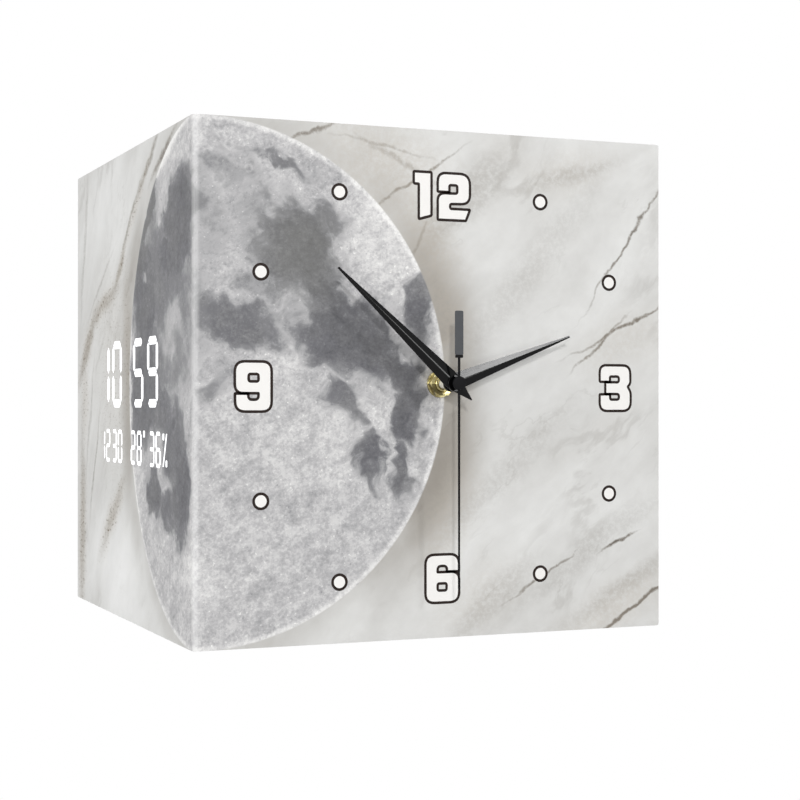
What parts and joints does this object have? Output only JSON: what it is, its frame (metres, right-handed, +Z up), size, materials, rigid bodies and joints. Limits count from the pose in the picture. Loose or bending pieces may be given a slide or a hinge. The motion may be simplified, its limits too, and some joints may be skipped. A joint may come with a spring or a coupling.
{
  "type": "corner wall clock",
  "caption": "Corner wall clock in an L-shaped white housing: printed bent panel with an analogue dial on one face and a lit digital display on the other.",
  "frame": {"origin": "on the wall's corner edge, at the inner corner of the L, at mid-height", "axes": "+Z up; +Y points from the dial arm into its wall, so the dial faces -Y; +X points from the display arm into its wall, so the display faces -X"},
  "size_m": [0.26, 0.2852, 0.261],
  "materials": {
    "white_case": "fine satin white moulding",
    "printed_panel": "semi-gloss acrylic with a grey marble and moon print",
    "steel": "zinc plated steel",
    "brass": "bright machined brass",
    "rubber": "matt black rubber",
    "black_case": "fine textured black plastic",
    "gear_white": "plain natural acetal",
    "copper": "enamelled copper wire",
    "circuit_board": "solder masked laminate",
    "battery_sleeve": "plain grey sleeve over metal",
    "magnet": "dark magnet",
    "hand_black": "gloss black",
    "hand_grey": "dark grey, half gloss",
    "light_film": "milky white"
  },
  "bodies": {
    "clock_body": {"dial_housing": "white_case", "display_housing": "white_case", "front_panel": "printed_panel", "dial_rear_cover": "white_case", "display_rear_cover": "white_case", "dial_hanger": "steel", "display_hanger": "steel", "dial_cover_screw_1": "steel", "dial_cover_screw_2": "steel", "dial_cover_screw_3": "steel", "dial_cover_screw_4": "steel", "display_cover_screw_1": "steel", "display_cover_screw_2": "steel", "display_cover_screw_3": "steel", "display_cover_screw_4": "steel", "rubber_gasket": "rubber", "movement_case": "black_case", "movement_cover": "black_case", "threaded_bush": "brass", "brass_washer": "brass", "hex_nut": "brass", "middle_plate": "gear_white", "train_bridge": "gear_white", "stator": "steel", "coil_core": "steel", "coil": "copper", "movement_board": "circuit_board", "quartz_crystal": "steel", "battery": "battery_sleeve", "contact_plus": "steel", "contact_minus": "steel", "light_film": "light_film", "segment_reflector": "black_case", "display_board": "circuit_board", "driver_chip": "black_case", "cell_holder": "black_case", "coin_cell": "steel", "push_switch_1": "black_case", "push_switch_2": "black_case", "push_switch_3": "black_case", "key_board": "circuit_board", "power_inlet": "steel", "climate_sensor": "light_film", "ribbon_cable": "hand_grey"},
    "second_works": {"second_hand": "hand_grey", "seconds_wheel": "gear_white"},
    "third_works": {"third_wheel": "gear_white"},
    "centre_works": {"centre_wheel": "gear_white"},
    "fifth_works": {"fifth_wheel": "gear_white"},
    "rotor_works": {"rotor": "magnet"},
    "minute_works": {"minute_hand": "hand_black", "minute_pipe": "brass"},
    "setting_works": {"setting_wheel": "gear_white", "setting_knob": "black_case"},
    "hour_works": {"hour_hand": "hand_black", "hour_wheel": "gear_white"},
    "set_key_1": {"set_button_1": "white_case"},
    "set_key_2": {"set_button_2": "white_case"},
    "set_key_3": {"set_button_3": "white_case"}
  },
  "joints": [
    {"name": "second_turn", "type": "hinge", "parent": "clock_body", "child": "second_works", "pos_m": [0.09, -0.04, 0], "axis": [0, 1, 0], "continuous": true},
    {"name": "third_turn", "type": "hinge", "parent": "clock_body", "child": "third_works", "pos_m": [0.08006, -0.029, 0.00574], "axis": [0, 1, 0], "continuous": true},
    {"name": "centre_turn", "type": "hinge", "parent": "clock_body", "child": "centre_works", "pos_m": [0.09, -0.03, 0], "axis": [0, 1, 0], "continuous": true},
    {"name": "fifth_turn", "type": "hinge", "parent": "clock_body", "child": "fifth_works", "pos_m": [0.092, -0.027, 0.01136], "axis": [0, 1, 0], "continuous": true},
    {"name": "rotor_turn", "type": "hinge", "parent": "clock_body", "child": "rotor_works", "pos_m": [0.0965, -0.026, 0.01916], "axis": [0, 1, 0], "continuous": true},
    {"name": "minute_turn", "type": "hinge", "parent": "clock_body", "child": "minute_works", "pos_m": [0.09, -0.045, 0], "axis": [0, 1, 0], "continuous": true},
    {"name": "setting_turn", "type": "hinge", "parent": "clock_body", "child": "setting_works", "pos_m": [0.10163, -0.03, 0.00312], "axis": [0, 1, 0], "continuous": true},
    {"name": "hour_turn", "type": "hinge", "parent": "clock_body", "child": "hour_works", "pos_m": [0.09, -0.042, 0], "axis": [0, 1, 0], "continuous": true},
    {"name": "button_1_press", "type": "slide", "parent": "clock_body", "child": "set_key_1", "axis": [0, 0, 1], "range_m": [0, 0.0008], "stiffness_N_per_m": 1200, "springref_m": -0.0004},
    {"name": "button_2_press", "type": "slide", "parent": "clock_body", "child": "set_key_2", "axis": [0, 0, 1], "range_m": [0, 0.0008], "stiffness_N_per_m": 1200, "springref_m": -0.0004},
    {"name": "button_3_press", "type": "slide", "parent": "clock_body", "child": "set_key_3", "axis": [0, 0, 1], "range_m": [0, 0.0008], "stiffness_N_per_m": 1200, "springref_m": -0.0004}
  ],
  "couplings": [
    {"joint": "third_turn", "follows": "second_turn", "ratio": -0.13333},
    {"joint": "centre_turn", "follows": "second_turn", "ratio": 0.016667},
    {"joint": "fifth_turn", "follows": "second_turn", "ratio": -6},
    {"joint": "rotor_turn", "follows": "second_turn", "ratio": 30},
    {"joint": "setting_turn", "follows": "minute_turn", "ratio": -0.33333},
    {"joint": "hour_turn", "follows": "minute_turn", "ratio": 0.083333}
  ]
}
